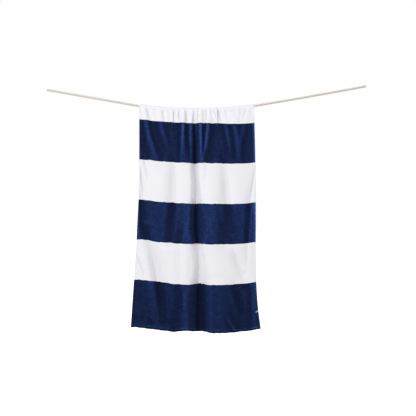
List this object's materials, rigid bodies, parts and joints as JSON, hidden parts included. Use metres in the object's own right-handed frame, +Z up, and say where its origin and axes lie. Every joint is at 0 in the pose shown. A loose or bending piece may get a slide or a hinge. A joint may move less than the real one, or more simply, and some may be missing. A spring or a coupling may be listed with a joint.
{
  "type": "beach towel on a rope line",
  "caption": "Broad-striped beach towel hung over a sagging twisted rope line, long in front and short behind, with gathers at the top and a deep fold down the middle.",
  "frame": {"origin": "centre of the rope's left cut end, which is tied to what holds the line", "axes": "+Z up, +X along the line to the viewer's right, -Y towards the viewer of the towel's front"},
  "size_m": [2.105, 0.0899, 1.6294],
  "materials": {
    "towelling": "cut-pile cotton velour in broad navy and white stripes",
    "ribbon": "plain woven ribbon",
    "rope": "laid natural fibre, unbleached"
  },
  "bodies": {
    "root": {"towel": "towelling", "side_tab": "ribbon", "rope": "rope"}
  },
  "joints": []
}
